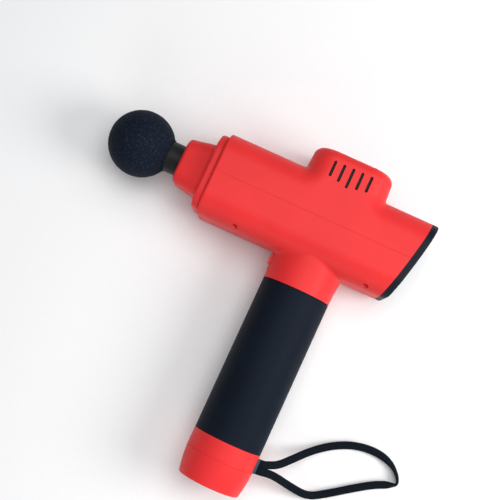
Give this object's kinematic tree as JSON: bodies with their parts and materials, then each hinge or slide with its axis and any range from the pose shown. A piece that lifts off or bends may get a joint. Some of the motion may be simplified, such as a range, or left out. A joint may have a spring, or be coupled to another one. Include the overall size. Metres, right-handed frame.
{
  "type": "massage gun",
  "caption": "Handheld percussion massage gun: rounded barrel with a ball head on a sliding plunger, vented motor hump, slide-out battery handle with grip sleeve and a braided wrist strap.",
  "frame": {"origin": "on the flat side of the barrel that it lies on, directly under the crossing of the barrel axis and the handle axis", "axes": "+X along the barrel from the ball head to the rear panel, +Y up the handle towards the motor hump, +Z away from the surface it lies on"},
  "size_m": [0.2986, 0.2503, 0.062],
  "materials": {
    "red_shell": "satin soft-touch paint",
    "navy_panel": "fine matt texture",
    "grip_rubber": "smooth soft-touch rubber",
    "foam": "closed-cell foam with a fine grain",
    "neck_plastic": "fine matt",
    "button_plastic": "satin",
    "black_plastic": "plain moulded",
    "black_rubber": "matt",
    "lens": "milky, glossy",
    "circuit_board": "green solder mask",
    "screw_steel": "dark plated",
    "cast_metal": "as cast",
    "plunger_metal": "turned and anodised",
    "bearing_steel": "ground",
    "lamination_steel": "laminated",
    "spring_steel": "bright",
    "magnet": "nickel plated",
    "copper": "enamelled wire",
    "bronze": "sintered",
    "contact_brass": "plated",
    "cell_wrap": "shrink sleeve",
    "anchor_plastic": "satin",
    "strap_braid": "flat braid"
  },
  "bodies": {
    "housing": {"lower_housing": "red_shell", "upper_housing": "red_shell", "vent_screens": "black_plastic", "front_ring": "red_shell", "nose_cone": "red_shell", "nose_seal": "black_rubber", "rear_panel": "navy_panel", "indicator_lenses": "lens", "control_board": "circuit_board", "driver_board": "circuit_board", "housing_screws": "screw_steel", "drive_frame": "cast_metal", "frame_screws": "screw_steel", "frame_dampers": "black_rubber", "plunger_bush": "bronze", "motor_bearings": "bearing_steel", "stator_core": "lamination_steel", "stator_windings": "copper", "battery_socket": "black_plastic", "socket_contacts": "contact_brass", "release_spring": "spring_steel"},
    "rotor": {"rotor_bell": "bearing_steel", "rotor_magnets": "magnet", "motor_shaft": "bearing_steel", "cooling_fan": "black_plastic", "crank_disc": "bearing_steel", "crank_set_screw": "screw_steel"},
    "plunger": {"plunger": "plunger_metal", "wrist_pin": "bearing_steel"},
    "rod": {"connecting_rod": "cast_metal", "wrist_bush": "bronze", "crank_bearing": "bearing_steel", "crank_pin": "bearing_steel"},
    "ball_head": {"ball_foam": "foam", "head_core": "neck_plastic", "stub_o_ring": "black_rubber"},
    "power_button": {"power_button": "button_plastic"},
    "release_button": {"release_button": "red_shell"},
    "battery": {"battery_tube": "black_plastic", "battery_top_cap": "black_plastic", "battery_contacts": "contact_brass", "grip_sleeve": "grip_rubber", "base_band": "red_shell", "base_cap": "red_shell", "base_bulkhead": "black_plastic", "base_screws": "screw_steel", "charge_jack": "neck_plastic", "switch_frame": "neck_plastic", "battery_cells": "cell_wrap", "cell_spacers": "black_plastic", "nickel_strips": "spring_steel", "protection_board": "circuit_board", "strap_anchor": "anchor_plastic", "wrist_strap": "strap_braid"},
    "rocker": {"power_rocker": "button_plastic"}
  },
  "joints": [
    {"name": "rotor_spin", "type": "hinge", "parent": "housing", "child": "rotor", "pos_m": [0, 0, 0.031], "axis": [0, 1, 0], "continuous": true},
    {"name": "plunger_slide", "type": "slide", "parent": "housing", "child": "plunger", "axis": [-1, 0, 0], "range_m": [-0.006, 0.006]},
    {"name": "rod_swing", "type": "hinge", "parent": "plunger", "child": "rod", "pos_m": [-0.05165, 0, 0.031], "axis": [0, 1, 0], "range_deg": [0, 13.25]},
    {"name": "head_pull", "type": "slide", "parent": "plunger", "child": "ball_head", "axis": [-1, 0, 0], "range_m": [0, 0.03]},
    {"name": "power_button_press", "type": "slide", "parent": "housing", "child": "power_button", "axis": [-0.9803, 0.1977, 0], "range_m": [0, 0.0012], "stiffness_N_per_m": 900, "springref_m": -0.0008},
    {"name": "release_press", "type": "slide", "parent": "housing", "child": "release_button", "axis": [1, 0, 0], "range_m": [0, 0.0013], "stiffness_N_per_m": 1500, "springref_m": -0.0008, "deforming": ["release_spring"]},
    {"name": "battery_slide", "type": "slide", "parent": "housing", "child": "battery", "axis": [0, -1, 0], "range_m": [0, 0.04]},
    {"name": "rocker_tilt", "type": "hinge", "parent": "battery", "child": "rocker", "pos_m": [-0.0084, -0.1964, 0.031], "axis": [0, 0, 1], "range_deg": [0, 20]}
  ]
}
